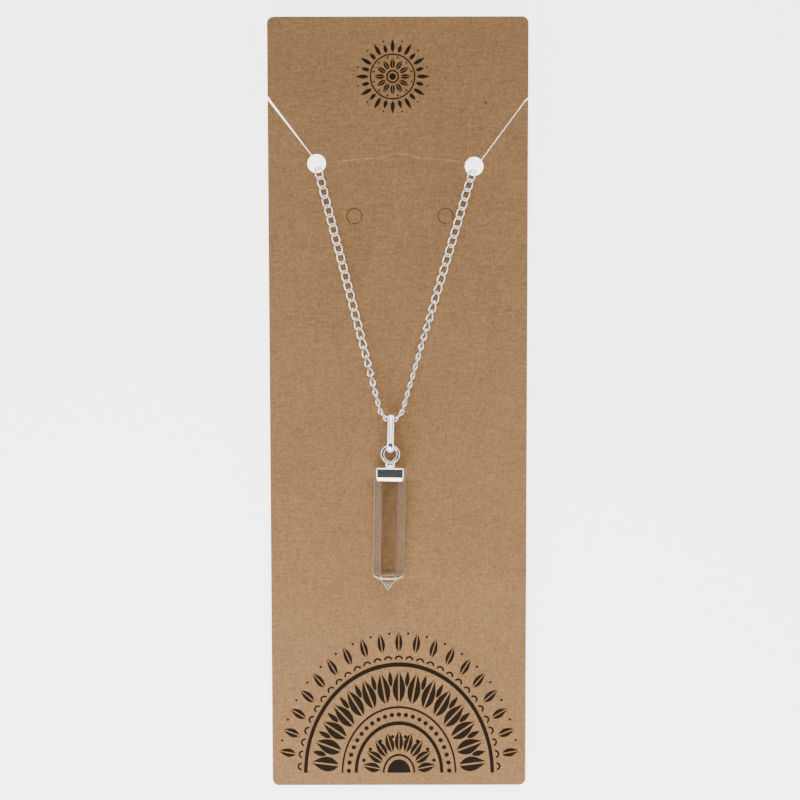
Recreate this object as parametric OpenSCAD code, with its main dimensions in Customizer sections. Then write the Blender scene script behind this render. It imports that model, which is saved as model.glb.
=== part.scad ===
// Crystal point pendant on a curb chain, carried by a display card that lies on its back.
// Millimetres. The origin is under the middle of the card, +Y is the card's top and +Z its face.

/* [Card] */
// Width of the card
card_w = 70; // [64:1:76]
// Height of the card
card_h = 210; // [190:1:230]
// Thickness of the board
card_t = 0.6; // [0.5:0.1:0.8]
// Radius of the card's corners
card_corner = 1.8; // [1:0.1:3]
// Diameter of the two holes that the chain goes through
hole_d = 5; // [4.9:0.1:5.6]
// Half the distance between the chain holes
hole_half_span = 21.2; // [20.5:0.1:22]
// Height of the chain holes above the middle of the card
hole_rise = 65.6; // [62:0.1:68]
// Distance of the holes' middle to the left of the card's middle
hole_shift = 0.7; // [0:0.1:1.5]
// Turn of all that hangs on the holes, to the card's left
lean = 1.1; // [0:0.1:2]
// Height above the middle of the card at which the slits meet its edges
slit_rise = 83.5; // [80:0.5:86]
// Width of the left slit at the card's edge
slit_wide = 0.7; // [0.4:0.1:0.9]
// Width of the right slit, and of both at the holes
slit_narrow = 0.25; // [0.2:0.05:0.4]
// Half the distance between the small round flaps
flap_half_span = 12.3; // [11:0.1:13]
// Distance of the flaps' middle to the right of the card's middle
flap_shift = 0.5; // [0:0.1:1]
// Height of the small flaps above the middle of the card
flap_rise = 51.9; // [48:0.1:54]
// Diameter of a small flap
flap_d = 4.3; // [4:0.1:4.6]
// Width of the cut round a small flap
flap_cut = 0.2; // [0.15:0.05:0.3]

/* [Chain] */
// Distance from link to link
pitch = 2.6; // [2.6:0.01:2.64]
// Outer width of a link
link_w = 2.3; // [2.25:0.05:2.4]
// Wire of a link
wire_d = 0.4; // [0.36:0.01:0.4]
// Links in each straight strand in front of the card
strand_links = 26; // [25:1:27]
// Straight links in each leg behind the card
leg_links = 34; // [30:1:34]

/* [Bail] */
// Width of the half-round wire
bail_w = 2.04; // [1.9:0.02:2.1]
// Thickness of the half-round wire
bail_t = 0.9; // [0.8:0.05:0.95]
// Outer depth of the loop
bail_depth = 5; // [4.9:0.1:5.4]
// Outer length of the loop
bail_len = 11.4; // [11:0.1:12]

/* [Cap] */
// Width of the cap across its side corners
cap_w = 10.7; // [10.5:0.1:11]
// Width of the cap's front facet
cap_front_w = 7.1; // [6.8:0.1:7.4]
// Depth of the cap from its front facet to its back facet
cap_depth = 9.2; // [9.1:0.1:9.6]
// Height of the cap
cap_h = 3.65; // [3.4:0.05:4]
// Thickness of the cap's top, over the crystal's seat
cap_top = 0.7; // [0.6:0.05:0.9]
// Radius of the cap's upright corners
cap_corner = 0.6; // [0.4:0.1:0.8]
// Outer width of the soldered loop
loop_w = 5.3; // [5.1:0.1:5.5]
// Wire of the soldered loop
loop_wire = 1.08; // [1:0.02:1.1]
// Height of the loop's middle above the cap
loop_rise = 3.1; // [3:0.05:3.4]
// Width of the neck under the loop
neck_d = 3.1; // [2.9:0.1:3.4]

/* [Crystal] */
// Width of the crystal across its corners under the cap
crystal_w = 8.6; // [8.4:0.1:8.6]
// Width of the crystal across its corners at the shoulder
shoulder_w = 8.4; // [8:0.1:8.5]
// Length from the cap's rim to the shoulder
shaft_len = 26.9; // [24:0.1:30]
// Length of the six-sided point
point_len = 4; // [3:0.1:5]

/* [Hidden] */
$fn = 48;
gap = 0.11;
eps = 0.01;

// A link is an oval of wire with a twist, so that it lies flat in its neighbours.
// Distance by which a link's end reaches past the joint with its neighbour
hook = 0.27;
link_half = pitch / 2 + hook;
link_side = (link_w - wire_d) / 2;
twist_rise = 0.45;
// Angles round the oval at which the wire bends
end_bend = 22;
side_bend = 52;
quarter = [end_bend, side_bend, 90, 180 - side_bend, 180 - end_bend];
oval = concat(quarter, [for (q = quarter) q + 180]);
wire_sides = 5;
link_points = [for (i = [0:len(oval) - 1]) each wire_ring(i)];

// Heights from the floor up: the chain behind the card, the card, the middle of the bail's top
chain_z = gap / 10 - min([for (p = link_points) p[2]]);
card_z = 2.2;
card_mid = card_z + card_t / 2;
face_z = card_z + card_t;
bail_z = face_z + bail_depth / 2 + gap;

// From the level link in the bail the chain goes up over a steep link on each side, then
// straight to the rim of its hole. The upright link in the hole stands this far from its middle.
steep = 50;
rim = 1.55;
to_steep = reach(steep);
to_strand = reach(25);
to_upright = reach(84);
steep_x = to_steep + (to_steep + to_strand) * cos(steep);
steep_y = (to_steep + to_strand) * sin(steep);
strand_len = to_strand + (strand_links - 1) * pitch + to_upright;
strand_slope = asin((bail_z - card_mid - to_upright) / strand_len);
strand_plan = strand_len * cos(strand_slope);
spread = asin((hole_half_span - steep_x) / (strand_plan + rim));
hang = (strand_plan + rim) * cos(spread) + steep_y;
// Links of a strand, counted from the bail, between which it turns from edge-on to face-on
left_turn = [3, 14];
right_turn = [7, 18];

// Behind the card each leg drops to the floor, turns straight, and bends round to the clasp
to_back = reach(80);
drop_slope = asin((card_mid - to_back - chain_z) / (to_back + pitch / 2));
ease_links = 4;
arc_links = 10;
arc_turn = 8;
back_links = ease_links + leg_links + arc_links;
// The upright link shares its bend between its two joints, and tilts in its own plane
upright_slope = 90 + (strand_slope - drop_slope) / 2;
upright_yaw = 14;
front_links = strand_links + 3;
half_chain = run(front_links + back_links);

// The clasp is a flat ring with an eye on each side, leant over, that holds the chain's last link
clasp_wire = 0.9;
eye_r = 0.75;
eye_wire = 0.4;
eye_lean = 45;
eye_out = 1;
eye_seat = 0.2;
eye_z = eye_r * sin(eye_lean) + eye_wire / 2;
last_aim = 90 - arc_turn * (arc_links - 0.5);
last_link = half_chain[len(half_chain) - 1];
last_end = last_link[1] + link_half * (facing(last_link[0]) * [1, 0, 0]);
clasp_r = last_end[0] / cos(last_aim) + eye_seat - eye_out;
clasp_y = last_end[1] - last_end[0] * tan(last_aim);

// The bail leans up from the card's face to the loop, and the pendant down from the cap to its point
bail_in = bail_depth / 2 - bail_t;
bail_gap = bail_len - bail_depth;
bail_seat = sqrt(pow(bail_in - wire_d / 2 - gap, 2) - pow(link_side * sin(side_bend), 2))
    - twist_rise * sin(2 * side_bend);
bail_y = -hang - bail_seat;
loop_r = (loop_w - loop_wire) / 2;
loop_seat = sqrt(pow(loop_r - loop_wire / 2 - gap, 2) - pow(bail_w / 2, 2));
bail_reach = bail_gap + bail_in - loop_r + loop_seat;
pendant_tilt = atan((cap_depth - shoulder_w * cos(30)) / 2 / shaft_len);
pendant_z = face_z + gap + cap_h * sin(pendant_tilt) + cap_depth / 2 * cos(pendant_tilt);
loop_top = loop_rise + loop_r;
bail_tilt = asin((pendant_z + loop_top * sin(pendant_tilt) - bail_z) / bail_reach);
pendant_y = bail_y - bail_reach * cos(bail_tilt) - loop_top * cos(pendant_tilt);
// Angle on the loop where its round part ends and its straight feet begin
loop_foot = 50;

function unit(v) = v / norm(v);
function turn_x(a) = [[1, 0, 0], [0, cos(a), -sin(a)], [0, sin(a), cos(a)]];
function turn_y(a) = [[cos(a), 0, sin(a)], [0, 1, 0], [-sin(a), 0, cos(a)]];
function turn_z(a) = [[cos(a), -sin(a), 0], [sin(a), cos(a), 0], [0, 0, 1]];

// Centre of the wire at a bend of the oval, and the wire's corners there
function wire_at(i) = let (q = oval[(i + len(oval)) % len(oval)])
    [link_half * cos(q) / cos(end_bend), link_side * sin(q), twist_rise * sin(2 * q)];
function wire_ring(i) =
    let (
        c = wire_at(i),
        along = unit(unit(c - wire_at(i - 1)) + unit(wire_at(i + 1) - c)),
        across = unit(cross(along, [0, 0, 1])),
        up = cross(along, across),
        step = 360 / wire_sides
    )
    [for (j = [0:wire_sides - 1])
        c + wire_d / 2 * (cos(step * (j + 0.5)) * across + sin(step * (j + 0.5)) * up)];

// How far a link's middle is from the joint with its neighbour when the two bend by this angle
function reach(bend) = link_half - hook / cos(bend / 2);

// A link's aim is [heading, slope, roll, yaw], seen along the chain from the bail outwards
function facing(a) = turn_z(a[0]) * turn_y(a[1]) * turn_x(a[2]) * turn_z(a[3]);
function bearing(k) = k < ease_links ? spread * (1 - k / ease_links)
    : k < ease_links + leg_links ? 0
    : arc_turn * (k - ease_links - leg_links + 0.5);
function aim(k) = k == 0 ? [0, 0, 90, 0]
    : k == 1 ? [steep, 0, 90, 0]
    : k < front_links - 1 ? [90 - spread, strand_slope, 0, 0]
    : k == front_links - 1 ? [90 - spread, upright_slope, 0, upright_yaw]
    : k == front_links ? [90 - spread, 180 - drop_slope, 0, 0]
    : [90 - bearing(k - front_links), 180, 0, 0];
// Distance from link k to its joint with the next link
function to_next(k) = k == 0 ? to_steep
    : k == 1 ? to_strand
    : k == front_links - 2 ? to_upright
    : k == front_links - 1 ? to_back
    : pitch / 2;
function step_of(k) = to_next(k) * (along(k) + along(k + 1));
function along(k) = turn_z(aim(k)[0]) * turn_y(aim(k)[1]) * [1, 0, 0];
// Each link of the right half as [aim, middle], from the one in the bail to the one at the clasp
function run(n) =
    [for (k = 0, at = [0, -hang, bail_z]; k < n; at = at + step_of(k), k = k + 1) [aim(k), at]];
function roll(k, turn) = 90 * min(1, max(0, (turn[1] - k) / (turn[1] - turn[0])));
function rolled(a, k, turn) = k < 2 || k > front_links - 2 ? a : [a[0], a[1], roll(k, turn), a[3]];
function right_links(from, to) =
    [for (k = [from:to]) [rolled(half_chain[k][0], k, right_turn), half_chain[k][1]]];
function left_links(from, to) =
    [for (k = [from:to])
        let (a = rolled(half_chain[k][0], k, left_turn), at = half_chain[k][1])
        [[180 - a[0], a[1], a[2], a[3]], [-at[0], at[1], at[2]]]];

// All that hangs on the holes, with the origin midway between them
module hung() translate([-hole_shift, hole_rise, 0]) rotate([0, 0, -lean]) children();

// The cap and the crystal, with the origin on the cap's top and the point down -Y
module pendant() hung() translate([0, pendant_y, pendant_z]) rotate([pendant_tilt, 0, 0]) children();

module links(list) {
    per_link = len(link_points);
    sides = wire_sides;
    points = [for (link = list) let (m = facing(link[0])) for (p = link_points) link[1] + m * p];
    faces = [for (n = [0:len(list) - 1], i = [0:len(oval) - 1], j = [0:sides - 1])
        let (
            here = n * per_link + i * sides,
            there = n * per_link + (i + 1) % len(oval) * sides,
            next = (j + 1) % sides
        )
        each [[here + j, there + next, here + next], [here + j, there + j, there + next]]];
    polyhedron(points, faces);
}

// A cut from one point to another that is wider at one end
module slit(from, to, from_w, to_w) {
    side = unit([from[1] - to[1], to[0] - from[0]]) / 2;
    polygon([from + side * from_w, to + side * to_w, to - side * to_w, from - side * from_w]);
}

module card_outline() {
    inner = [card_w - 2 * card_corner, card_h - 2 * card_corner];
    square([card_w, inner[1]], center = true);
    square([inner[0], card_h], center = true);
    for (x = [-1, 1], y = [-1, 1])
        translate([x * inner[0] / 2, y * inner[1] / 2]) circle(card_corner);
}

// The cut round a small flap, which still hangs on the board at its lower right
module flap_cut_outline() {
    difference() {
        circle(d = flap_d);
        circle(d = flap_d - 2 * flap_cut);
        rotate(-45) translate([0, -0.6]) square([flap_d, 1.2]);
    }
}

// The left slit narrows from the edge to its hole, the right one has a kink near the edge
module slits() {
    past = 1;
    edge = card_w / 2;
    holes = [for (side = [-1, 1])
        [side * hole_half_span * cos(lean) - hole_shift, hole_rise - side * hole_half_span * sin(lean)]];
    left_end = holes[0] + [-1, 1.75];
    right_end = holes[1] + [1.7, 1.35];
    kink = [edge - 0.9, slit_rise - 0.95];
    slit([-edge - past, slit_rise + 1.3 * past], left_end, slit_wide, slit_narrow);
    slit(kink + unit(kink - right_end) * slit_narrow / 3, right_end, slit_narrow, slit_narrow);
    slit([edge + past, slit_rise - 0.2 + 0.83 * past], kink, slit_narrow, slit_narrow);
}

module card() {
    color("#a6825f") translate([0, 0, card_z]) linear_extrude(card_t) difference() {
        card_outline();
        translate([-hole_shift, hole_rise]) rotate(-lean)
            for (side = [-1, 1]) translate([side * hole_half_span, 0]) circle(d = hole_d);
        slits();
        for (side = [-1, 1]) translate([flap_shift + side * flap_half_span, flap_rise]) flap_cut_outline();
    }
}

module chain_front() {
    last = front_links - 1;
    color("silver") hung() links(concat(right_links(0, last), left_links(1, last)));
}

module chain_back() {
    last = len(half_chain) - 1;
    color("silver") hung() links(concat(right_links(front_links, last), left_links(front_links, last)));
}

module clasp() {
    color("silver") hung() translate([0, clasp_y, 0]) {
        translate([0, 0, clasp_wire / 2]) rotate_extrude() translate([clasp_r, 0]) circle(d = clasp_wire);
        for (turn = [last_aim, 180 - last_aim])
            rotate(turn) translate([clasp_r + eye_out, 0, eye_z]) rotate([eye_lean, 0, 0])
                rotate_extrude() translate([eye_r, 0]) circle(d = eye_wire);
    }
}

// Section of the bail's wire: flat on the inside of the loop and domed outside
module bail_section() {
    dome = (pow(bail_w / 2, 2) + bail_t * bail_t) / 2 / bail_t;
    translate([bail_in, 0]) intersection() {
        translate([bail_t - dome, 0]) circle(dome);
        translate([0, -bail_w]) square(2 * bail_w);
    }
}

module bail() {
    color("silver") hung() translate([0, bail_y, bail_z]) rotate([-bail_tilt, 0, 0]) {
        rotate([0, 90, 0]) rotate_extrude(angle = 180) bail_section();
        translate([0, -bail_gap, 0]) rotate([180, 90, 0]) rotate_extrude(angle = 180) bail_section();
        for (side = [-90, 90]) rotate([90, 0, 0]) linear_extrude(bail_gap) rotate(side) bail_section();
    }
}

// Outline of the cap from above: a flattened hexagon with rounded corners
module cap_outline() {
    n = unit([cap_depth, cap_w - cap_front_w]);
    side = [cap_w / 2 - cap_corner / n[0], 0];
    front_y = cap_depth / 2 - cap_corner;
    front = [cap_w / 2 - (cap_corner + n[1] * front_y) / n[0], front_y];
    quarter = [side + cap_corner * n, front + cap_corner * n, front + [0, cap_corner]];
    half = concat(quarter, [for (i = [2:-1:0]) [-quarter[i][0], quarter[i][1]]]);
    polygon(concat(half, -half));
    for (c = [side, front, [-front[0], front[1]]]) {
        translate(c) circle(cap_corner);
        translate(-c) circle(cap_corner);
    }
}

// The wire loop on the cap: round at the top, with straight feet that meet on a short neck
module loop() {
    translate([0, loop_rise, 0]) {
        rotate(-loop_foot) rotate_extrude(angle = 180 + 2 * loop_foot)
            translate([loop_r, 0]) circle(d = loop_wire);
        for (side = [0, 1])
            mirror([side, 0, 0]) rotate(-loop_foot) translate([loop_r, 0, 0]) rotate([90, 0, 0])
                cylinder(d = loop_wire, h = loop_r / tan(loop_foot));
    }
    translate([0, -eps, 0]) rotate([-90, 0, 0]) cylinder(d = neck_d, h = loop_rise - loop_r - gap);
}

module cap() {
    color("silver") pendant() {
        difference() {
            rotate([90, 0, 0]) linear_extrude(cap_h) cap_outline();
            translate([0, -cap_top, 0]) rotate([90, 0, 0]) linear_extrude(cap_h)
                circle(d = crystal_w + 2 * gap / cos(30), $fn = 6);
        }
        loop();
    }
}

module crystal() {
    shoulder = cap_h + shaft_len;
    levels = [[cap_top + gap, crystal_w / 2], [cap_h, crystal_w / 2], [shoulder, shoulder_w / 2]];
    tip = 6 * len(levels);
    points = [for (level = levels, q = [0:60:300]) [level[1] * cos(q), -level[0], level[1] * sin(q)]];
    sides = [for (n = [0:len(levels) - 2], i = [0:5]) let (next = (i + 1) % 6)
        [6 * n + i, 6 * n + 6 + i, 6 * n + 6 + next, 6 * n + next]];
    ends = concat([[0, 1, 2, 3, 4, 5]], [for (i = [0:5]) [tip - 6 + i, tip, tip - 6 + (i + 1) % 6]]);
    color("#cdd3d0", 0.5) pendant()
        polyhedron(concat(points, [[0, -shoulder - point_len, 0]]), concat(sides, ends));
}

card();
chain_front();
chain_back();
clasp();
bail();
cap();
crystal();
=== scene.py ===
"""Looks of the crystal point pendant necklace on its display card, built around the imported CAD."""
import math
import bmesh
import bpy
import numpy as np
from mathutils import Matrix, Vector


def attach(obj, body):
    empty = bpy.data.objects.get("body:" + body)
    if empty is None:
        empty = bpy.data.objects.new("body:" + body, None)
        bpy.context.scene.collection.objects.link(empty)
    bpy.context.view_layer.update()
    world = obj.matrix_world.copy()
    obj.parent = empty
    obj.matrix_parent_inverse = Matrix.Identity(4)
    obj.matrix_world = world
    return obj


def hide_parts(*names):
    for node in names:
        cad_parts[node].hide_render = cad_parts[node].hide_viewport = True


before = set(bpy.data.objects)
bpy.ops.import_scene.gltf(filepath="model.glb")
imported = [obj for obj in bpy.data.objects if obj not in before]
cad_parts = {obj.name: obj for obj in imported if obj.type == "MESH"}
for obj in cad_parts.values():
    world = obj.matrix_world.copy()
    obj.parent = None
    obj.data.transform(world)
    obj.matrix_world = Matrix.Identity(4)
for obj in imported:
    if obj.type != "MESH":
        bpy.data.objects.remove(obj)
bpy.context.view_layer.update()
MM = 0.001

# The sizes below are those of the CAD, in millimetres
CARD_W = 70.0
CARD_H = 210.0
FACE_Z = 2.8
CARD_MID = 2.5
HOLE_HALF_SPAN = 21.2
HOLE_RISE = 65.6
HOLE_SHIFT = 0.7
LEAN = 1.1
PITCH = 2.6
LINK_W = 2.3
WIRE_D = 0.4
STRAND_LINKS = 26
LEG_LINKS = 34
EASE_LINKS = 4
ARC_LINKS = 10
ARC_TURN = 8
HOOK = 0.27
TWIST_RISE = 0.45
GAP = 0.11
BAIL_W = 2.04
BAIL_T = 0.9
BAIL_DEPTH = 5.0
BAIL_LEN = 11.4
CAP_W = 10.7
CAP_FRONT_W = 7.1
CAP_DEPTH = 9.2
CAP_H = 3.65
CAP_TOP = 0.7
CAP_CORNER = 0.6
LOOP_W = 5.3
LOOP_WIRE = 1.08
LOOP_RISE = 3.1
LOOP_FOOT = 50
NECK_D = 3.1
CRYSTAL_W = 8.6
SHOULDER_W = 8.4
SHAFT_LEN = 26.9
POINT_LEN = 4.0


def sin(a):
    return math.sin(math.radians(a))


def cos(a):
    return math.cos(math.radians(a))


def turn(axis, a):
    return np.array(Matrix.Rotation(math.radians(a), 3, axis))


LINK_HALF = PITCH / 2 + HOOK
LINK_SIDE = (LINK_W - WIRE_D) / 2


def reach(bend):
    """Distance from a link's middle to its joint with the next link, where the chain bends."""
    return LINK_HALF - HOOK / cos(bend / 2)


# Angles round a link at which its wire's path is set, the same on both halves
HALF_STATIONS = [22, 52, 90, 128, 158]
STATIONS = HALF_STATIONS + [a + 180 for a in HALF_STATIONS]

# The chain's way, as in the CAD: from the link in the bail outwards to the clasp.
# STEEP is the heading of the second link, and the bends are about the angles between two links.
STEEP = 50
STRAND_BEND = 25
UPRIGHT_BEND = 84
BACK_BEND = 80
# Distance from the upright link to the middle of its hole, seen from above
RIM = 1.55
# Height of the hidden chain's middle
CHAIN_Z = 0.6368
BAIL_Z = FACE_Z + BAIL_DEPTH / 2 + GAP
TO_STEEP = reach(STEEP)
TO_STRAND = reach(STRAND_BEND)
TO_UPRIGHT = reach(UPRIGHT_BEND)
TO_BACK = reach(BACK_BEND)
STEEP_X = TO_STEEP + (TO_STEEP + TO_STRAND) * cos(STEEP)
STEEP_Y = (TO_STEEP + TO_STRAND) * sin(STEEP)
STRAND_LEN = TO_STRAND + (STRAND_LINKS - 1) * PITCH + TO_UPRIGHT
SLOPE = math.degrees(math.asin((BAIL_Z - CARD_MID - TO_UPRIGHT) / STRAND_LEN))
STRAND_PLAN = STRAND_LEN * cos(SLOPE)
SPREAD = math.degrees(math.asin((HOLE_HALF_SPAN - STEEP_X) / (STRAND_PLAN + RIM)))
HANG = (STRAND_PLAN + RIM) * cos(SPREAD) + STEEP_Y
DROP = math.degrees(math.asin((CARD_MID - TO_BACK - CHAIN_Z) / (TO_BACK + PITCH / 2)))
UPRIGHT = 90 + (SLOPE - DROP) / 2
UPRIGHT_YAW = 14
FRONT_LINKS = STRAND_LINKS + 3
BACK_LINKS = EASE_LINKS + LEG_LINKS + ARC_LINKS
# First and last link of each strand's turn from edge-on to flat
LEFT_TURN = (3, 14)
RIGHT_TURN = (7, 18)


def bearing(k):
    """Turn of link k behind the card, away from the way straight down."""
    if k < EASE_LINKS:
        return SPREAD * (1 - k / EASE_LINKS)
    if k < EASE_LINKS + LEG_LINKS:
        return 0
    return ARC_TURN * (k - EASE_LINKS - LEG_LINKS + 0.5)


def aim(k):
    """Heading, slope, roll and yaw of link k of the right half."""
    if k == 0:
        return 0, 0, 90, 0
    if k == 1:
        return STEEP, 0, 90, 0
    if k < FRONT_LINKS - 1:
        return 90 - SPREAD, SLOPE, 0, 0
    if k == FRONT_LINKS - 1:
        return 90 - SPREAD, UPRIGHT, 0, UPRIGHT_YAW
    if k == FRONT_LINKS:
        return 90 - SPREAD, 180 - DROP, 0, 0
    return 90 - bearing(k - FRONT_LINKS), 180, 0, 0


def along(k):
    """Direction of the length of link k of the right half."""
    heading, slope = aim(k)[:2]
    return turn("Z", heading) @ turn("Y", slope) @ np.array([1, 0, 0])


def to_next(k):
    """Distance from the middle of link k to its joint with the next link."""
    special = {0: TO_STEEP, 1: TO_STRAND, FRONT_LINKS - 2: TO_UPRIGHT, FRONT_LINKS - 1: TO_BACK}
    return special.get(k, PITCH / 2)


def link_places(side, turn_span):
    """Rotation and middle of every link of one half of the chain."""
    first, last = turn_span
    at = np.array([0, -HANG, BAIL_Z])
    places = []
    for k in range(FRONT_LINKS + BACK_LINKS):
        heading, slope, roll, yaw = aim(k)
        if 2 <= k <= FRONT_LINKS - 2:
            roll = 90 * min(1, max(0, (last - k) / (last - first)))
        if side < 0:
            heading = 180 - heading
        facing = turn("Z", heading) @ turn("Y", slope) @ turn("X", roll) @ turn("Z", yaw)
        places.append((facing, at * np.array([side, 1, 1])))
        at = at + to_next(k) * (along(k) + along(k + 1))
    return places


# The pendant's place, as in the CAD
BAIL_IN = BAIL_DEPTH / 2 - BAIL_T
BAIL_GAP = BAIL_LEN - BAIL_DEPTH
# Station at which the link's wire is nearest to the bail
SEAT = HALF_STATIONS[1]
SEAT_SIDE = LINK_SIDE * sin(SEAT)
BAIL_SEAT = math.sqrt((BAIL_IN - WIRE_D / 2 - GAP) ** 2 - SEAT_SIDE ** 2) - TWIST_RISE * sin(2 * SEAT)
BAIL_Y = -HANG - BAIL_SEAT
LOOP_R = (LOOP_W - LOOP_WIRE) / 2
LOOP_SEAT = math.sqrt((LOOP_R - LOOP_WIRE / 2 - GAP) ** 2 - (BAIL_W / 2) ** 2)
BAIL_REACH = BAIL_GAP + BAIL_IN - LOOP_R + LOOP_SEAT
PENDANT_TILT = math.degrees(math.atan((CAP_DEPTH - SHOULDER_W * cos(30)) / 2 / SHAFT_LEN))
PENDANT_Z = FACE_Z + GAP + CAP_H * sin(PENDANT_TILT) + CAP_DEPTH / 2 * cos(PENDANT_TILT)
LOOP_TOP = LOOP_RISE + LOOP_R
BAIL_TILT = math.degrees(math.asin((PENDANT_Z + LOOP_TOP * sin(PENDANT_TILT) - BAIL_Z) / BAIL_REACH))
PENDANT_Y = BAIL_Y - BAIL_REACH * cos(BAIL_TILT) - LOOP_TOP * cos(PENDANT_TILT)


def hung(points):
    """From the frame of all that hangs on the holes to the card's frame."""
    return np.asarray(points) @ turn("Z", -LEAN).T + [-HOLE_SHIFT, HOLE_RISE, 0]


def pendant(points):
    """From the frame of the cap and crystal, whose origin is in the middle of the cap's top."""
    return hung(np.asarray(points) @ turn("X", PENDANT_TILT).T + [0, PENDANT_Y, PENDANT_Z])


def bail_frame(points):
    """From the frame of the bail, whose origin is the middle of its upper bend."""
    return hung(np.asarray(points) @ turn("X", -BAIL_TILT).T + [0, BAIL_Y, BAIL_Z])


def make(name, points, faces, smooth=True):
    """Mesh object from points in millimetres."""
    mesh = bpy.data.meshes.new(name)
    mesh.from_pydata([tuple(p) for p in np.asarray(points) * MM], [], [tuple(f) for f in faces])
    mesh.update()
    work = bmesh.new()
    work.from_mesh(mesh)
    bmesh.ops.recalc_face_normals(work, faces=work.faces)
    work.to_mesh(mesh)
    work.free()
    for polygon in mesh.polygons:
        polygon.use_smooth = smooth
    piece = bpy.data.objects.new(name, mesh)
    bpy.context.scene.collection.objects.link(piece)
    return piece


def crisp(piece, angle):
    """Smooth shading, with sharp edges where two faces meet at more than the angle."""
    mesh = piece.data
    work = bmesh.new()
    work.from_mesh(mesh)
    for edge in work.edges:
        if len(edge.link_faces) == 2 and edge.calc_face_angle(0) > math.radians(angle):
            edge.smooth = False
    work.to_mesh(mesh)
    work.free()
    weighted = piece.modifiers.new("weighted", "WEIGHTED_NORMAL")
    weighted.keep_sharp = True


def grid_faces(rings, sides, closed):
    """Quads between rings of points that follow one another."""
    faces = []
    for i in range(rings if closed else rings - 1):
        here = i * sides
        there = (i + 1) % rings * sides
        for j in range(sides):
            after = (j + 1) % sides
            faces.append((here + j, here + after, there + after, there + j))
    return faces


# Materials
def material(name):
    made = bpy.data.materials.new(name)
    made.use_nodes = True
    tree = made.node_tree
    shader = tree.nodes["Principled BSDF"]
    return made, tree, shader


def node(tree, kind, **settings):
    made = tree.nodes.new(kind)
    for key, value in settings.items():
        setattr(made, key, value)
    return made


def feed(tree, socket, value):
    """Links the socket to another one, or sets it to a number or a colour."""
    if isinstance(value, bpy.types.NodeSocket):
        tree.links.new(value, socket)
    elif isinstance(value, (int, float)):
        socket.default_value = value
    else:
        socket.default_value = (*value, 1)


def ramp(tree, source, stops):
    """Colour ramp whose stops are pairs of a position and a grey or a colour."""
    made = node(tree, "ShaderNodeValToRGB")
    elements = made.color_ramp.elements
    while len(elements) < len(stops):
        elements.new(0.5)
    for element, (position, value) in zip(elements, stops):
        element.position = position
        element.color = (value, value, value, 1) if isinstance(value, (int, float)) else (*value, 1)
    tree.links.new(source, made.inputs["Fac"])
    return made.outputs["Color"]


def noise(tree, vector, scale, detail, roughness):
    made = node(tree, "ShaderNodeTexNoise")
    made.inputs["Scale"].default_value = scale
    made.inputs["Detail"].default_value = detail
    made.inputs["Roughness"].default_value = roughness
    tree.links.new(vector, made.inputs["Vector"])
    return made.outputs["Fac"]


def mixed(tree, factor, a, b, blend="MIX"):
    made = node(tree, "ShaderNodeMix", data_type="RGBA", blend_type=blend)
    for identifier, value in (("Factor_Float", factor), ("A_Color", a), ("B_Color", b)):
        feed(tree, next(s for s in made.inputs if s.identifier == identifier), value)
    return next(s for s in made.outputs if s.identifier == "Result_Color")


def maths(tree, operation, a, b=0.0):
    made = node(tree, "ShaderNodeMath", operation=operation)
    for socket, value in zip(made.inputs, (a, b)):
        feed(tree, socket, value)
    return made.outputs["Value"]


def bumped(tree, shader, height, distance, strength):
    """Bump from a height, with its distance in metres."""
    made = node(tree, "ShaderNodeBump")
    made.inputs["Strength"].default_value = strength
    made.inputs["Distance"].default_value = distance
    tree.links.new(height, made.inputs["Height"])
    tree.links.new(made.outputs["Normal"], shader.inputs["Normal"])


def place_in_mm(tree, scale=(1, 1, 1), turned=0.0):
    """Object coordinates in millimetres, stretched or turned for a grain."""
    source = node(tree, "ShaderNodeTexCoord")
    mapping = node(tree, "ShaderNodeMapping")
    mapping.inputs["Scale"].default_value = [s / MM for s in scale]
    mapping.inputs["Rotation"].default_value = (0, 0, math.radians(turned))
    tree.links.new(source.outputs["Object"], mapping.inputs["Vector"])
    return mapping.outputs["Vector"]


def away_from(tree, place, x, y):
    """Distance from a point of the card's face, along the face."""
    away = node(tree, "ShaderNodeVectorMath", operation="DISTANCE")
    flat = node(tree, "ShaderNodeVectorMath", operation="MULTIPLY")
    flat.inputs[1].default_value = (1, 1, 0)
    tree.links.new(place, flat.inputs[0])
    tree.links.new(flat.outputs["Vector"], away.inputs[0])
    away.inputs[1].default_value = (x, y, 0)
    return away.outputs["Value"]


def spot(tree, place, x, y, radius, soft):
    """One inside a round spot of the card's face, fading to nought over its soft rim."""
    return ramp(tree, away_from(tree, place, x, y), [(radius, 1.0), (radius + soft, 0.0)])


def flap_cut_shade(tree, place, side):
    """One along the pressed cut round a flap, fading to nought beside it: where the cut's shade is painted.
    """
    away = away_from(tree, place, FLAP_SHIFT + side * FLAP_HALF_SPAN, FLAP_RISE)
    beside = maths(tree, "ABSOLUTE", maths(tree, "SUBTRACT", away, FLAP_CUT_R))
    return ramp(tree, beside, FLAP_FADE)


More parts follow.
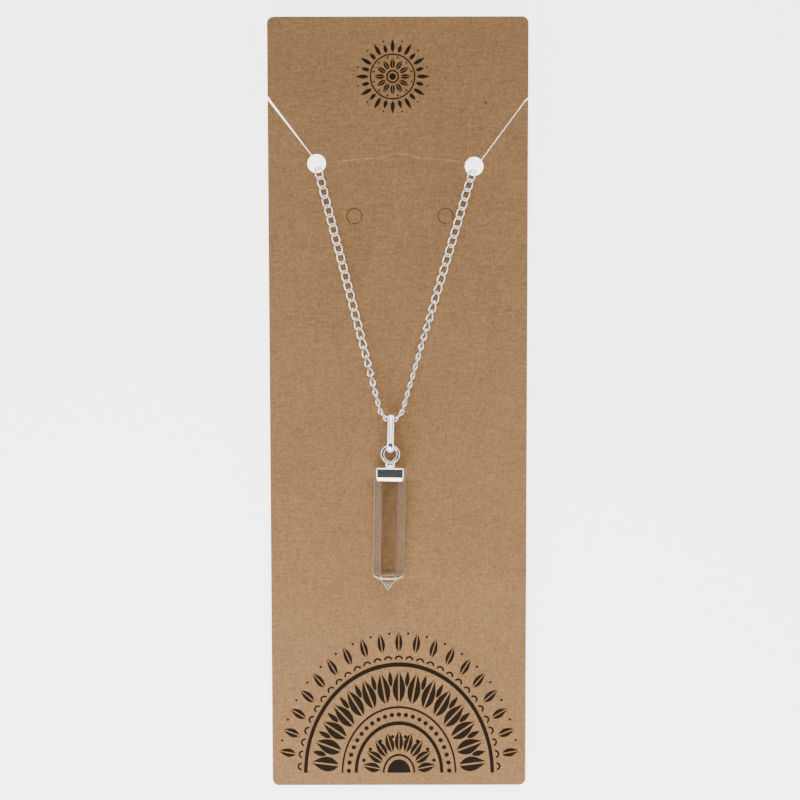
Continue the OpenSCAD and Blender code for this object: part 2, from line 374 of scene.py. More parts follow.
def crease(tree, place):
    """One along a faint arch from one hole to the other, with a hump in its middle."""
    parts = node(tree, "ShaderNodeSeparateXYZ")
    tree.links.new(place, parts.inputs["Vector"])
    reach_x = maths(tree, "DIVIDE", parts.outputs["X"], CREASE_HALF)
    arch = maths(tree, "MULTIPLY", maths(tree, "MULTIPLY", reach_x, reach_x), -CREASE_ARCH)
    hump_x = maths(tree, "DIVIDE", parts.outputs["X"], CREASE_HUMP_HALF)
    bell = maths(tree, "POWER", math.e, maths(tree, "MULTIPLY", maths(tree, "MULTIPLY", hump_x, hump_x), -1))
    hump = maths(tree, "MULTIPLY", bell, CREASE_HUMP)
    waver = noise(tree, place_in_mm(tree, (1, 0, 0)), 0.5, 3, 0.6)
    wander = maths(tree, "MULTIPLY", waver, CREASE_WANDER)
    line = maths(tree, "ADD", maths(tree, "ADD", arch, hump), maths(tree, "ADD", wander, CREASE_Y))
    away = maths(tree, "ABSOLUTE", maths(tree, "SUBTRACT", parts.outputs["Y"], line))
    near = ramp(tree, away, CREASE_FADE)
    ends = ramp(tree, maths(tree, "ABSOLUTE", reach_x), CREASE_ENDS)
    broken = ramp(tree, noise(tree, place, 0.8, 3, 0.6), [(0.38, 0.15), (0.58, 1.0)])
    return maths(tree, "MULTIPLY", maths(tree, "MULTIPLY", near, ends), broken)


def shaded(colour, factor):
    return tuple(c * factor for c in colour)


# Marks on the card, in millimetres: the pressed cuts round the flaps, with painted shade along the cut on
# each side
FLAP_HALF_SPAN = 12.3
FLAP_SHIFT = 0.5
FLAP_RISE = 51.9
FLAP_CUT_R = 2.05
FLAP_FADE = [(0.10, 1.0), (0.34, 0.0)]
FLAP_CUT_SHADE = ((-1, 0.7), (1, 0.4))
FLAP_CUT_SHADE_TONE = (0.19, 0.078, 0.024)
# The crease between the holes, which is highest in its middle
CREASE_HALF = 18.5
CREASE_Y = 67.2
CREASE_ARCH = 1.4
CREASE_HUMP = 1.1
CREASE_HUMP_HALF = 3.4
CREASE_WANDER = 0.7
CREASE_FADE = [(0.05, 1.0), (0.32, 0.0)]
CREASE_ENDS = [(0.93, 1.0), (1.0, 0.0)]
# One dark speck
SPECK = (23.6, 82.1)
SPECK_R = 0.25
SPECK_SOFT = 0.3

KRAFT_TONE = (0.385, 0.207, 0.086)
# Painted shade: the board is painted a little darker towards its top, where the light falls off, with heights
# as shares of the card's height
PAINTED_FALLOFF = [(0.25, 1.03), (0.9, 0.88)]


def kraft(name, depth):
    """Kraft board in its own tone times the depth; a depth below one is painted shade, for board down in a
    cut.
    """
    made, tree, shader = material(name)
    place = place_in_mm(tree)
    own_tone = shaded(KRAFT_TONE, depth)
    cloud = noise(tree, place, 0.05, 4, 0.6)
    tone = ramp(tree, cloud, [(0.3, shaded(own_tone, 0.92)), (0.7, shaded(own_tone, 1.04))])
    # Painted shade that darkens the board towards the card's top
    parts = node(tree, "ShaderNodeSeparateXYZ")
    tree.links.new(place, parts.inputs["Vector"])
    height = maths(tree, "ADD", maths(tree, "DIVIDE", parts.outputs["Y"], CARD_H), 0.5)
    tone = mixed(tree, 1.0, tone, ramp(tree, height, PAINTED_FALLOFF), "MULTIPLY")
    mottle = noise(tree, place, 1.35, 5, 0.72)
    tone = mixed(tree, 1.0, tone, ramp(tree, mottle, [(0.30, 0.55), (0.70, 1.0)]), "MULTIPLY")
    # Felted fibres along the board and across it
    felt = None
    for stretch, turned in (((0.4, 2.4, 1), 3), ((2.6, 0.45, 1), -4)):
        strand = noise(tree, place_in_mm(tree, stretch, turned), 0.9, 3, 0.6)
        lines = ramp(tree, strand, [(0.36, 0.84), (0.64, 1.0)])
        felt = lines if felt is None else mixed(tree, 1.0, felt, lines, "MULTIPLY")
    tone = mixed(tree, 1.0, tone, felt, "MULTIPLY")
    # Single pale fibres in three directions, and short dark flecks
    fibres = None
    for turned in (12, 67, 131):
        strand = noise(tree, place_in_mm(tree, (0.55, 5.0, 1), turned), 1.3, 2, 0.5)
        thin = ramp(tree, strand, [(0.60, 0.0), (0.68, 1.0)])
        fibres = thin if fibres is None else mixed(tree, 1.0, fibres, thin, "LIGHTEN")
    tone = mixed(tree, maths(tree, "MULTIPLY", fibres, 0.30), tone, shaded(own_tone, 1.25))
    flecks = noise(tree, place_in_mm(tree, (4.0, 0.5, 1), 25), 1.6, 2, 0.5)
    dark_flecks = maths(tree, "MULTIPLY", ramp(tree, flecks, [(0.62, 0.0), (0.72, 1.0)]), 0.35)
    tone = mixed(tree, dark_flecks, tone, shaded(own_tone, 0.45))
    tone = mixed(tree, maths(tree, "MULTIPLY", crease(tree, place), 0.5), tone, shaded(own_tone, 1.4))
    tone = mixed(tree, spot(tree, place, *SPECK, SPECK_R, SPECK_SOFT), tone, shaded(own_tone, 0.2))
    # Painted shade along the pressed cuts round the flaps, stronger round the left one
    for side, strength in FLAP_CUT_SHADE:
        wear_and_shade = maths(tree, "MULTIPLY", flap_cut_shade(tree, place, side), strength)
        tone = mixed(tree, wear_and_shade, tone, shaded(FLAP_CUT_SHADE_TONE, depth))
    tree.links.new(tone, shader.inputs["Base Color"])
    shader.inputs["Roughness"].default_value = 0.82
    shader.inputs["Specular IOR Level"].default_value = 0.25
    rough = maths(tree, "ADD", mottle, maths(tree, "MULTIPLY", fibres, 0.6))
    bumped(tree, shader, rough, 0.00006, 0.6)
    return made


def silver():
    made, tree, shader = material("polished silver")
    place = place_in_mm(tree)
    wear = noise(tree, place, 2.2, 4, 0.6)
    shade = ramp(tree, wear, [(0.3, 0.07), (0.75, 0.18)])
    tree.links.new(shade, shader.inputs["Roughness"])
    tone = ramp(tree, wear, [(0.3, (0.97, 0.97, 0.975)), (0.8, (0.92, 0.92, 0.91))])
    tree.links.new(tone, shader.inputs["Base Color"])
    shader.inputs["Metallic"].default_value = 1.0
    bumped(tree, shader, noise(tree, place, 0.9, 2, 0.5), 0.00002, 0.5)
    return made


QUARTZ_IOR = 1.544
# Warm tint of the stone's reflections
QUARTZ_SHINE = (1.0, 0.88, 0.72, 1)


def quartz(name, tint, clearness, gloss, frost, streaks):
    """Clear stone; frost is the roughness of its plain parts and of its streaks."""
    made, tree, shader = material(name)
    shader.inputs["Base Color"].default_value = (*tint, 1)
    shader.inputs["Transmission Weight"].default_value = clearness
    shader.inputs["IOR"].default_value = QUARTZ_IOR
    shader.inputs["Specular IOR Level"].default_value = gloss
    shader.inputs["Specular Tint"].default_value = QUARTZ_SHINE
    veil = noise(tree, place_in_mm(tree, streaks, 2), 0.55, 5, 0.7)
    shade = ramp(tree, veil, [(0.52, frost[0]), (0.70, frost[1])])
    tree.links.new(shade, shader.inputs["Roughness"])
    bumped(tree, shader, noise(tree, place_in_mm(tree), 0.35, 2, 0.5), 0.00004, 0.5)
    return made


def ink():
    made, tree, shader = material("printed ink")
    place = place_in_mm(tree)
    wear_and_shade = noise(tree, place, 3.5, 4, 0.65)
    tone = ramp(tree, wear_and_shade, [(0.3, (0.007, 0.0045, 0.003)), (0.72, (0.022, 0.014, 0.009))])
    tree.links.new(tone, shader.inputs["Base Color"])
    shader.inputs["Roughness"].default_value = 0.8
    shader.inputs["Specular IOR Level"].default_value = 0.08
    bumped(tree, shader, wear_and_shade, 0.00002, 0.4)
    return made


KRAFT = kraft("kraft board", 1.0)
# The board in the cuts is painted at a quarter of its tone: painted shade
TORN_IN_PAINTED_SHADE = kraft("torn board in painted shade", 0.25)
SILVER = silver()
QUARTZ = quartz("clear quartz", tint=(0.985, 0.99, 0.98), clearness=1.0, gloss=0.5,
                frost=(0.0, 0.08), streaks=(1, 0.35, 1))
VEILED = quartz("veiled quartz", tint=(0.99, 0.94, 0.88), clearness=0.96, gloss=0.3,
                frost=(0.0, 0.04), streaks=(1.4, 0.10, 1))
GROUND = quartz("ground quartz", tint=(1.0, 0.80, 0.58), clearness=0.40, gloss=0.15,
                frost=(0.30, 0.50), streaks=(1, 1, 1))
INK = ink()


def dress(piece, look):
    """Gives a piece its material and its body."""
    piece.data.materials.clear()
    piece.data.materials.append(look)
    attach(piece, "root")


# Chain: each link is a twisted oval of round wire
def smooth_loop(stations, per_span):
    """Closed curve through the stations (Catmull-Rom)."""
    count = len(stations)
    points = []
    for i in range(count):
        a, b, c, d = (np.asarray(stations[(i + s) % count]) for s in (-1, 0, 1, 2))
        for step in range(per_span):
            t = step / per_span
            points.append(0.5 * (2 * b + (c - a) * t + (2 * a - 5 * b + 4 * c - d) * t * t
                                 + (3 * b - a - 3 * c + d) * t ** 3))
    return np.array(points)


def tube(path, radius, sides, closed):
    """Rings of points round a path, each ring turned the least from the one before."""
    count = len(path)
    tangents = []
    for i in range(count):
        before = path[i - 1] if closed or i else path[i]
        after = path[(i + 1) % count] if closed or i < count - 1 else path[i]
        tangents.append((after - before) / np.linalg.norm(after - before))
    rings = []
    for tangent, centre in zip(tangents, path):
        across = np.cross(tangent, [0, 0, 1.0])
        across /= np.linalg.norm(across)
        up = np.cross(tangent, across)
        for j in range(sides):
            a = 360 * j / sides
            rings.append(centre + radius * (cos(a) * across + sin(a) * up))
    return np.array(rings)


# Keeps the rounder links of the scene inside the box of the CAD's links
LINK_TRIM = 0.002
WIRE_SIDES = 8


def link_shape():
    """Points and faces of one link in its own frame, with its length along x and its twist in z."""
    stations = [(LINK_HALF * cos(a) / cos(STATIONS[0]), LINK_SIDE * sin(a), TWIST_RISE * sin(2 * a))
                for a in STATIONS]
    path = smooth_loop(stations, 3)
    return tube(path, WIRE_D / 2 - LINK_TRIM, WIRE_SIDES, True), grid_faces(len(path), WIRE_SIDES, True)


def chain(name, places, replaced):
    """One piece of separate links, in place of a node of the CAD."""
    shape, shape_faces = link_shape()
    points = []
    faces = []
    for facing, at in places:
        offset = len(points)
        points.extend(shape @ facing.T + at)
        faces.extend(tuple(i + offset for i in face) for face in shape_faces)
    piece = make(name, hung(points), faces)
    dress(piece, SILVER)
    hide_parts(replaced)


right_half = link_places(1, RIGHT_TURN)
left_half = link_places(-1, LEFT_TURN)
chain("links_front", right_half[:FRONT_LINKS] + left_half[1:FRONT_LINKS], "chain_front")
chain("links_back", right_half[FRONT_LINKS:] + left_half[FRONT_LINKS:], "chain_back")


# Bail: half-round wire in a long loop. The corners of its section are rounded over this many
# degrees of its dome and millimetres of its flat side.
DOME_TRIM = 9
FLAT_TRIM = 0.22


def bail_section():
    """Half-round section: pairs of the height over its flat inner side and the place across it."""
    dome = ((BAIL_W / 2) ** 2 + BAIL_T ** 2) / 2 / BAIL_T
    centre = BAIL_T - dome
    end_angle = math.degrees(math.acos(-centre / dome)) - DOME_TRIM
    section = [(centre + dome * cos(a), dome * sin(a)) for a in np.linspace(-end_angle, end_angle, 15)]
    curves = []
    for side, start in ((1, section[-1]), (-1, section[0])):
        corner = np.array([0.0, side * BAIL_W / 2])
        end = corner - [0, side * FLAT_TRIM]
        curves.append([tuple((1 - t) ** 2 * np.array(start) + 2 * t * (1 - t) * corner + t * t * end)
                       for t in (0.25, 0.5, 0.75, 1.0)])
    return section + curves[0] + curves[1][::-1]


def bail():
    section = bail_section()
    # Round the upper bend, then round the lower one
    stops = [(0, a) for a in np.linspace(0, 180, 25)] + [(-BAIL_GAP, a) for a in np.linspace(180, 360, 25)]
    rings = []
    for middle, a in stops:
        for out, width in section:
            r = BAIL_IN + out
            rings.append((width, middle + r * sin(a), -r * cos(a)))
    piece = make("bail_loop", bail_frame(rings), grid_faces(len(stops), len(section), True))
    crisp(piece, 50)
    dress(piece, SILVER)
    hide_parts("bail")


bail()


# The cap and the crystal are six-sided. The crystal and the cap's socket have corners at these angles.
SIDES = 6
CORNER_ANGLES = [360 / SIDES * i for i in range(SIDES)]

# Cap: flattened hexagon with rounded edges, a socket below and a wire loop on a short neck
CORNER_STEPS = 7
CAP_ROUND = 0.42
# The cap's flared foot: how far each ring lies inside the outer faces, and its height above the rim
FOOT = [(0.0, 1.05), (0.01, 0.98), (0.04, 0.90), (0.24, 0.24), (0.29, 0.13), (0.37, 0.04), (0.47, 0.0)]
# The neck's outline: height over the cap's top, or from the neck's own top, and how far out from its side
NECK_FOOT = [(-0.12, 0.08), (0.0, 0.08), (0.10, -0.03), (0.25, -0.12)]
NECK_TOP = [(-0.25, -0.12), (-0.08, -0.18), (0.0, -0.40)]
# The loop's straight legs stop just short of where they would meet
LEG_SHARE = 0.97


def cap_corners():
    """Centres of the six rounded corners and the angles at which each round part starts and ends."""
    normal = np.array([CAP_DEPTH, CAP_W - CAP_FRONT_W])
    normal = normal / np.linalg.norm(normal)
    slant = math.degrees(math.atan2(normal[1], normal[0]))
    front = CAP_DEPTH / 2 - CAP_CORNER
    side_x = CAP_W / 2 - CAP_CORNER / normal[0]
    front_x = CAP_W / 2 - (CAP_CORNER + normal[1] * front) / normal[0]
    return [((side_x, 0), -slant, slant), ((front_x, front), slant, 90), ((-front_x, front), 90, 180 - slant),
            ((-side_x, 0), 180 - slant, 180 + slant), ((-front_x, -front), 180 + slant, 270),
            ((front_x, -front), 270, 360 - slant)]


def cap_ring(inset, depth):
    """Outline of the cap at a depth below its top, inside the outer faces by the inset."""
    ring = []
    for (x, z), start, end in cap_corners():
        for a in np.linspace(start, end, CORNER_STEPS):
            ring.append((x + (CAP_CORNER - inset) * cos(a), -depth, z + (CAP_CORNER - inset) * sin(a)))
    return ring


def cap_body():
    levels = [(CAP_ROUND * (1 - sin(a)), CAP_ROUND * (1 - cos(a))) for a in np.linspace(0, 90, 7)]
    levels += [(inset, CAP_H - above) for inset, above in FOOT]
    points = []
    for inset, depth in levels:
        points.extend(cap_ring(inset, depth))
    count = SIDES * CORNER_STEPS
    faces = grid_faces(len(levels), count, False)
    faces.append(tuple(range(count)))
    # The socket: its mouth and its floor, joined to the lowest ring of the outside
    lower = (len(levels) - 1) * count
    mouth = len(points)
    bottom = mouth + SIDES
    socket = CRYSTAL_W / 2 + GAP / cos(30)
    for depth in (CAP_H, CAP_TOP):
        points.extend((socket * cos(a), -depth, socket * sin(a)) for a in CORNER_ANGLES)
    for i in range(SIDES):
        first = lower + i * CORNER_STEPS
        after = (i + 1) % SIDES
        for j in range(CORNER_STEPS - 1):
            faces.append((first + j, first + j + 1, mouth + i))
        faces.append((first + CORNER_STEPS - 1, lower + after * CORNER_STEPS, mouth + after, mouth + i))
        faces.append((mouth + i, mouth + after, bottom + after, bottom + i))
    faces.append(tuple(range(bottom, bottom + SIDES)))
    piece = make("cap_body", pendant(points), faces)
    crisp(piece, 30)
    dress(piece, SILVER)
    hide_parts("cap")


def cap_loop():
    """Wire loop: a round part and two straight legs that run together at its foot."""
    foot = LOOP_R / math.tan(math.radians(LOOP_FOOT))
    start = np.array([LOOP_R * cos(LOOP_FOOT), -LOOP_R * sin(LOOP_FOOT), 0])
    down = np.array([-sin(LOOP_FOOT), -cos(LOOP_FOOT), 0])
    right = [start + down * foot * t for t in np.linspace(LEG_SHARE, 0, 5)]
    round_part = [np.array([LOOP_R * cos(a), LOOP_R * sin(a), 0])
                  for a in np.linspace(-LOOP_FOOT, 180 + LOOP_FOOT, 45)[1:-1]]
    left = [p * [-1, 1, 1] for p in right[::-1]]
    path = [p + [0, LOOP_RISE, 0] for p in right + round_part + left]
    sides = 16
    faces = grid_faces(len(path), sides, False)
    faces.append(tuple(range(sides)))
    faces.append(tuple(range((len(path) - 1) * sides, len(path) * sides)))
    piece = make("cap_loop", pendant(tube(np.array(path), LOOP_WIRE / 2, sides, False)), faces)
    crisp(piece, 50)
    dress(piece, SILVER)
    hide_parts("cap")


def cap_neck():
    """Short round neck between the cap's top and the loop."""
    height = LOOP_RISE - LOOP_R - GAP
    profile = NECK_FOOT + [(height + level, out) for level, out in NECK_TOP]
    sides = 32
    points = []
    for level, out in profile:
        r = NECK_D / 2 + out
        points.extend((r * cos(a), level, r * sin(a)) for a in np.linspace(0, 360, sides, endpoint=False))
    faces = grid_faces(len(profile), sides, False)
    faces.append(tuple(range(sides)))
    faces.append(tuple(range((len(profile) - 1) * sides, len(profile) * sides)))
    piece = make("cap_neck", pendant(points), faces)
    crisp(piece, 50)
    dress(piece, SILVER)
    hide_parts("cap")


cap_body()
cap_loop()
cap_neck()


# Crystal: six-sided shaft with a low point, its edges ground a little round
EDGE_WIDTH = 0.30
# Share of the full edge width, from the right outline round the front to the back
LONG_EDGES = (0.45, 0.0, 0.0, 1.0, 0.0, 0.0)
SHOULDER_EDGES = (1.0, 1.0, 1.0, 0.25, 0.25, 0.25)
POINT_EDGES = (0.7, 0.3, 0.3, 0.7, 0.2, 0.2)
VEILED_SIDES = (0, 2)
FRONT_SIDE = 1
# The crystal's points in order: a ring in the socket, one at the cap's rim, the shoulder's and the tip
SHOULDER_START = 2 * SIDES
TIP = 3 * SIDES
# Its material slots
CLEAR_SLOT = 0
GROUND_SLOT = 1
VEILED_SLOT = 2


def edge_share(a, b):
    """Share of the full edge width for the edge between points a and b of the crystal, where a < b."""
    if b == TIP:
        return POINT_EDGES[a - SHOULDER_START]
    if b - a == SIDES:
        return LONG_EDGES[a % SIDES]
    if a >= SHOULDER_START:
        return SHOULDER_EDGES[a - SHOULDER_START if b - a == 1 else SIDES - 1]
    return 0.0


def crystal():
    shoulder = CAP_H + SHAFT_LEN
    points = []
    for depth, half in ((CAP_TOP + GAP, CRYSTAL_W / 2), (CAP_H, CRYSTAL_W / 2), (shoulder, SHOULDER_W / 2)):
        points.extend((half * cos(a), -depth, half * sin(a)) for a in CORNER_ANGLES)
    points.append((0, -shoulder - POINT_LEN, 0))
    faces = grid_faces(3, SIDES, False)
    looks = [VEILED_SLOT if i % SIDES in VEILED_SIDES else CLEAR_SLOT for i in range(2 * SIDES)]
    faces.append(tuple(range(SIDES)))
    looks.append(GROUND_SLOT)
    faces.extend((SHOULDER_START + i, SHOULDER_START + (i + 1) % SIDES, TIP) for i in range(SIDES))
    looks.extend(CLEAR_SLOT if i == FRONT_SIDE else VEILED_SLOT for i in range(SIDES))
    piece = make("crystal_point", pendant(points), faces, smooth=False)
    mesh = piece.data
    weights = mesh.attributes.new("bevel_weight_edge", "FLOAT", "EDGE")
    for line in mesh.edges:
        weights.data[line.index].value = edge_share(*sorted(line.vertices))
    edge = piece.modifiers.new("edge", "BEVEL")
    edge.width = EDGE_WIDTH * MM
    edge.segments = 2
    edge.limit_method = "WEIGHT"
    edge.material = GROUND_SLOT
    dress(piece, QUARTZ)
    mesh.materials.append(GROUND)
    mesh.materials.append(VEILED)
    for polygon, look in zip(mesh.polygons, looks):
        polygon.material_index = look
    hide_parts("crystal")


crystal()


# Printed ornaments: flat shapes of ink on the card's face, a sunburst at the top and a fan at the foot.
# Angles are measured from straight up, and a stretch over 1 makes a shape longer along the card.
INK_LOW = FACE_Z - 0.02
INK_HIGH = FACE_Z + 0.03
DOT_STEPS = 14
PETAL_STEPS = 10
RING_PARTS = 4


def print_shapes(name, outlines):
    """One piece of thin plates with the outlines."""
    points = []
    faces = []
    for outline in outlines:
        count = len(outline)
        first = len(points)
        points.extend((x, y, INK_HIGH) for x, y in outline)
        points.extend((x, y, INK_LOW) for x, y in outline)
        faces.append(tuple(range(first, first + count)))
        faces.append(tuple(range(first + 2 * count - 1, first + count - 1, -1)))
        for i in range(count):
            after = (i + 1) % count
            faces.append((first + i, first + count + i, first + count + after, first + after))
    piece = make(name, points, faces, smooth=False)
    dress(piece, INK)


def polar(centre, r, a, stretch):
    return centre[0] + r * sin(a), centre[1] + r * cos(a) * stretch


def band(centre, inner, outer, start, end, stretch, steps):
    """Part of a ring, from one angle to another."""
    angles = np.linspace(start, end, steps)
    outside = [polar(centre, outer, a, stretch) for a in angles]
    inside = [polar(centre, inner, a, stretch) for a in angles[::-1]]
    return outside + inside


def full_ring(centre, inner, outer):
    """A whole ring, in parts because each outline is one face without a hole."""
    turns = [360 * i / RING_PARTS for i in range(RING_PARTS + 1)]
    return [band(centre, inner, outer, start, end, 1.0, 16) for start, end in zip(turns, turns[1:])]


def dot(centre, r, a, size, stretch=1.0):
    x, y = polar(centre, r, a, stretch)
    return [(x + size * sin(b), y + size * cos(b)) for b in np.linspace(0, 360, DOT_STEPS, endpoint=False)]


def petal(centre, near, far, a, half, stretch=1.0, slit=0.0):
    """Pointed petal along a ray; with a slit it comes as two halves."""
    halves = []
    for side in (-1, 1):
        edge = []
        for t in np.linspace(0, 1, PETAL_STEPS):
            r = near + (far - near) * t
            offset = half * math.sin(math.pi * t ** 0.8) ** 0.9
            edge.append((r, side * max(offset, slit / 2)))
        spine = [(far, side * slit / 2), (near, side * slit / 2)]
        halves.append(edge + (spine if slit else []))
    if not slit:
        halves = [halves[0] + halves[1][::-1][1:-1]]
    outlines = []
    for outline in halves:
        placed = []
        for r, offset in outline:
            x = r * sin(a) + offset * cos(a)
            y = r * cos(a) - offset * sin(a)
            placed.append((centre[0] + x, centre[1] + y * stretch))
        outlines.append(placed)
    return outlines


def clean(outline):
    """Drops points that fall on the one before."""
    kept = []
    for p in outline:
        if not kept or math.dist(p, kept[-1]) > 0.01:
            kept.append(p)
    if math.dist(kept[0], kept[-1]) < 0.01:
        kept.pop()
    return kept


def sunburst():
    centre = (-1.4, 89.1)
    shapes = [dot(centre, 0, 0, 0.9)]
    shapes += full_ring(centre, 1.35, 1.75)
    for i in range(12):
        shapes += petal(centre, 2.1, 4.9, 30 * i, 0.62, slit=0.16)
    shapes += [dot(centre, 5.2, 30 * i + 15, 0.26) for i in range(12)]
    shapes += full_ring(centre, 5.75, 6.1)
    for i in range(24):
        shapes += petal(centre, 6.45, 9.9 if i % 2 == 0 else 8.7, 15 * i, 0.5)
    shapes += [dot(centre, 9.6, 15 * (2 * i + 1), 0.24) for i in range(12)]
    return [clean(s) for s in shapes]


def fan():
    centre = (0.0, -101.5)
    tall = 1.18
    span = 90
    shapes = [band(centre, 0.01, 3.2, -span, span, tall, 24)]
    shapes.append(band(centre, 4.0, 4.5, -span, span, tall, 30))
    for i in range(9):
        shapes += petal(centre, 5.2, 10.2, -80 + 20 * i, 1.15, tall, slit=0.3)
    shapes += [dot(centre, 10.3, -70 + 20 * i, 0.5) for i in range(8)]
    shapes.append(band(centre, 11.4, 12.3, -span, span, tall, 60))
    for i in range(23):
        shapes.append(dot(centre, 13.9, -88 + 8 * i, 0.62, tall))
    shapes.append(band(centre, 15.4, 15.9, -span, span, tall, 60))
    for i in range(15):
        shapes += petal(centre, 16.8, 24.2, -84 + 12 * i, 1.75, tall, slit=0.45)
    for i in range(14):
        shapes += petal(centre, 20.6, 24.4, -78 + 12 * i, 0.62, tall)
    shapes.append(band(centre, 25.3, 26.3, -span, span, tall, 80))
    for i in range(29):
        a = -86.8 + 6.2 * i
        shapes.append(band(polar(centre, 27.0, a, tall), 0.65, 1.15, a - 88, a + 88, 1.0, 12))
    for i in range(19):
        shapes += petal(centre, 28.9, 33.6, -81 + 9 * i, 1.0, tall, slit=0.3)
    shapes += [dot(centre, 33.2, -76.5 + 9 * i, 0.34, tall) for i in range(18)]
    return [clean(s) for s in shapes]


print_shapes("ornament_top", sunburst())
print_shapes("ornament_foot", fan())

# Torn fibres of the board in its cuts, a little below the face, painted dark as the shade in the cut
FIBRE_LOW = 2.3
FIBRE_HIGH = FACE_Z - 0.06

# Those round the two small flaps start and end at the sides of the hinge
FLAP_OUTER = 2.15
FLAP_INNER = 1.95
HINGE_START = -31
HINGE_END = 301


def fibre_section(inner, outer):
    """Corners of a strip's section: pairs of a place across the strip and a height."""
    return [(inner, FIBRE_LOW), (outer, FIBRE_LOW), (outer, FIBRE_HIGH), (inner, FIBRE_HIGH)]


def flap_fibres(name, side):
    """Part of a ring that fills the cut, from one side of the flap's hinge round to the other."""
    middle = FLAP_SHIFT + side * FLAP_HALF_SPAN
    steps = 60
    points = []
    for a in np.linspace(HINGE_START, HINGE_END, steps):
        for r, z in fibre_section(FLAP_INNER, FLAP_OUTER):
            points.append((middle + r * cos(a), FLAP_RISE + r * sin(a), z))
    faces = grid_faces(steps, 4, False)
    faces.append((0, 1, 2, 3))
    faces.append(tuple(range(4 * steps - 4, 4 * steps)))
    piece = make(name, points, faces, smooth=False)
    dress(piece, TORN_IN_PAINTED_SHADE)


flap_fibres("flap_fibres_left", -1)
flap_fibres("flap_fibres_right", 1)

# Fibres that stand out from both sides of the slits. The slits lie as in the CAD's plan: the left one
# runs from past the card's edge, and the right one is followed from its kink. The ends are measured
# from the holes' middles.
SLIT_RISE = 83.5
SLIT_PAST = 1.0
SLIT_SLOPE = 1.3
SLIT_WIDE = 0.7
SLIT_NARROW = 0.25
KINK_IN = 0.9
KINK_DOWN = 0.95
LEFT_SLIT_END = [-1, 1.75]
RIGHT_SLIT_END = [1.7, 1.35]
# How far the fibres stand out, by what share that varies, and how far they reach into the board
SLIT_FIBRE = 0.065
SLIT_UNEVEN = 0.3
SLIT_BITE = 0.04


def slit_fibres(name, start, end, start_w, end_w, first, last):
    """Uneven strips along a slit, which start and stop at the distances first and last from its ends."""
    start = np.array(start)
    way = np.array(end) - start
    length = np.linalg.norm(way)
    across = np.array([way[1], -way[0]]) / length
    steps = 70
    points = []
    faces = []
    for side in (-1, 1):
        offset = len(points)
        for k, t in enumerate(np.linspace(first / length, 1 - last / length, steps)):
            half = (start_w + (end_w - start_w) * t) / 2
            # A turn of 97 degrees a step makes the waves uneven, and they differ on the two sides
            inner = half - SLIT_FIBRE * (1 + SLIT_UNEVEN * sin(97 * k + 90 * side))
            for out, z in fibre_section(inner, half + SLIT_BITE):
                x, y = start + way * t + across * side * out
                points.append((x, y, z))
        faces.extend(tuple(i + offset for i in face) for face in grid_faces(steps, 4, False))
        faces.append(tuple(range(offset, offset + 4)))
        faces.append(tuple(range(offset + 4 * steps - 4, offset + 4 * steps)))
    piece = make(name, points, faces, smooth=False)
    dress(piece, KRAFT)


left_hole = hung((-HOLE_HALF_SPAN, 0, 0))[:2]
right_hole = hung((HOLE_HALF_SPAN, 0, 0))[:2]
left_edge = (-CARD_W / 2 - SLIT_PAST, SLIT_RISE + SLIT_SLOPE * SLIT_PAST)
kink = (CARD_W / 2 - KINK_IN, SLIT_RISE - KINK_DOWN)
slit_fibres("slit_fibres_left", left_edge, left_hole + LEFT_SLIT_END, SLIT_WIDE, SLIT_NARROW,
            first=2.3, last=0.65)
slit_fibres("slit_fibres_right", kink, right_hole + RIGHT_SLIT_END, SLIT_NARROW, SLIT_NARROW,
            first=0.1, last=0.5)

# The card and the clasp keep their CAD shapes
for name, look in (("card", KRAFT), ("clasp", SILVER)):
    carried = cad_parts[name]
    for index in range(len(carried.material_slots)):
        carried.material_slots[index].material = look

# Camera at the photograph's place, aimed at a point of the card's face
DISTANCE = 500.0
CAMERA_TILT = 4.973
CAMERA_ROLL = -0.092
LOOK_AT = (0.438, 2.092, FACE_Z)
FOCAL_PIXELS = 1837.9
IMAGE_PIXELS = 800
camera_data = bpy.data.cameras.new("camera")
camera_data.sensor_width = 36.0
camera_data.lens = FOCAL_PIXELS / IMAGE_PIXELS * camera_data.sensor_width
camera_data.clip_start = 0.01
camera = bpy.data.objects.new("camera", camera_data)
bpy.context.scene.collection.objects.link(camera)
back = Vector((0, sin(CAMERA_TILT), cos(CAMERA_TILT)))
up = Vector((0, cos(CAMERA_TILT), -sin(CAMERA_TILT)))
right = Vector((1, 0, 0))
rolled_right = right * cos(CAMERA_ROLL) + up * sin(CAMERA_ROLL)
rolled_up = up * cos(CAMERA_ROLL) - right * sin(CAMERA_ROLL)
pose = Matrix((rolled_right, rolled_up, back)).transposed().to_4x4()
pose.translation = (Vector(LOOK_AT) + back * DISTANCE) * MM
camera.matrix_world = pose
bpy.context.scene.camera = camera

# Floor: a white table that is lit from below, so it glows; its size is in metres
HALF_FLOOR = 3.0
FLOOR_GLOW = 3.2
floor_corners = [(x * HALF_FLOOR, y * HALF_FLOOR, 0) for x, y in ((-1, -1), (1, -1), (1, 1), (-1, 1))]
floor_mesh = bpy.data.meshes.new("floor")
floor_mesh.from_pydata(floor_corners, [], [(0, 1, 2, 3)])
floor = bpy.data.objects.new("floor", floor_mesh)
bpy.context.scene.collection.objects.link(floor)
floor_look, _, floor_shader = material("white floor")
floor_shader.inputs["Base Color"].default_value = (0.93, 0.93, 0.93, 1)
floor_shader.inputs["Roughness"].default_value = 0.9
floor_shader.inputs["Specular IOR Level"].default_value = 0.1
floor_shader.inputs["Emission Color"].default_value = (1, 1, 1, 1)
floor_shader.inputs["Emission Strength"].default_value = FLOOR_GLOW
floor_mesh.materials.append(floor_look)


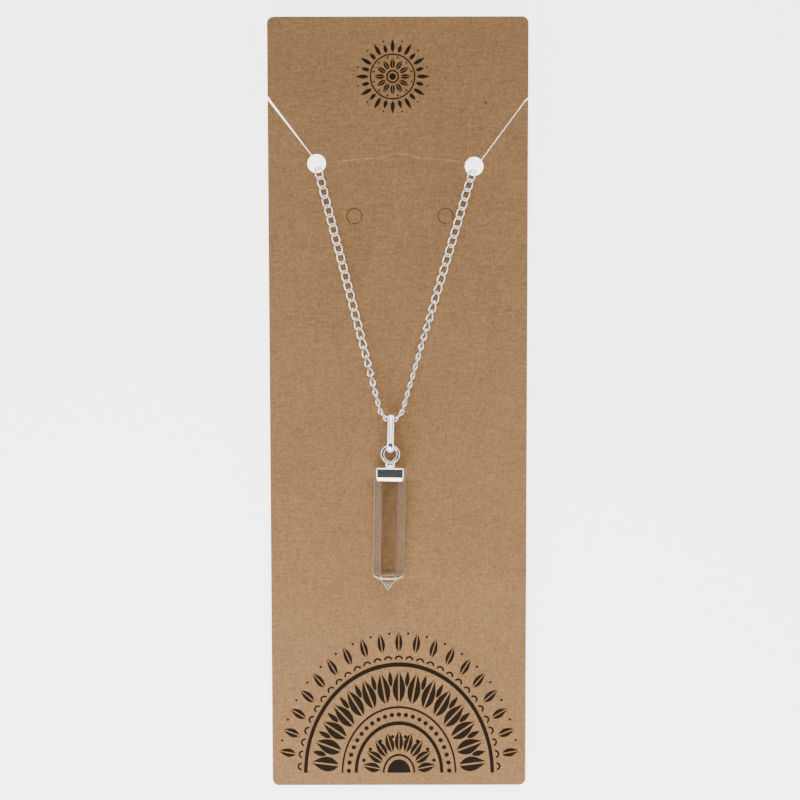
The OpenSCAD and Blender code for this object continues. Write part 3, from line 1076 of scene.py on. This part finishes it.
# Light: a round white wall with a dim ceiling, a window above the card and a soft lamp near its foot.
# The wall's brightness goes by the height of a direction, the window's by how near it is to WINDOW_TOWARDS.
WALL_STRENGTH = 4.4
WALL = [(0.0, 1.0), (0.17, 0.85), (0.32, 0.50), (0.44, 0.20), (0.60, 0.04), (0.90, 0.015), (1.0, 0.015)]
WINDOW_STRENGTH = 3.6
WINDOW_TOWARDS = (0.0, 0.65, 0.76)
WINDOW = [(0.86, 0.0), (0.94, 1.0)]


def lamp(name, place, aim_at, size, watts):
    data = bpy.data.lights.new(name, "AREA")
    data.shape = "DISK"
    data.size = size
    data.energy = watts
    made = bpy.data.objects.new(name, data)
    bpy.context.scene.collection.objects.link(made)
    made.location = place
    made.visible_camera = False
    made.rotation_euler = (Vector(aim_at) - Vector(place)).to_track_quat("-Z", "Y").to_euler()


def studio():
    world = bpy.data.worlds.new("studio")
    world.use_nodes = True
    tree = world.node_tree
    wall = tree.nodes["Background"]
    wall.inputs["Strength"].default_value = WALL_STRENGTH
    source = node(tree, "ShaderNodeTexCoord")
    parts = node(tree, "ShaderNodeSeparateXYZ")
    tree.links.new(source.outputs["Generated"], parts.inputs["Vector"])
    tree.links.new(ramp(tree, parts.outputs["Z"], WALL), wall.inputs["Color"])
    facing = node(tree, "ShaderNodeVectorMath", operation="DOT_PRODUCT")
    facing.inputs[1].default_value = WINDOW_TOWARDS
    tree.links.new(source.outputs["Generated"], facing.inputs[0])
    window = node(tree, "ShaderNodeBackground")
    window.inputs["Strength"].default_value = WINDOW_STRENGTH
    tree.links.new(ramp(tree, facing.outputs["Value"], WINDOW), window.inputs["Color"])
    both = node(tree, "ShaderNodeAddShader")
    tree.links.new(wall.outputs["Background"], both.inputs[0])
    tree.links.new(window.outputs["Background"], both.inputs[1])
    tree.links.new(both.outputs["Shader"], tree.nodes["World Output"].inputs["Surface"])
    bpy.context.scene.world = world


studio()
lamp("soft_key", place=(-0.06, -0.26, 0.24), aim_at=(0, -0.03, 0), size=0.32, watts=1.6)
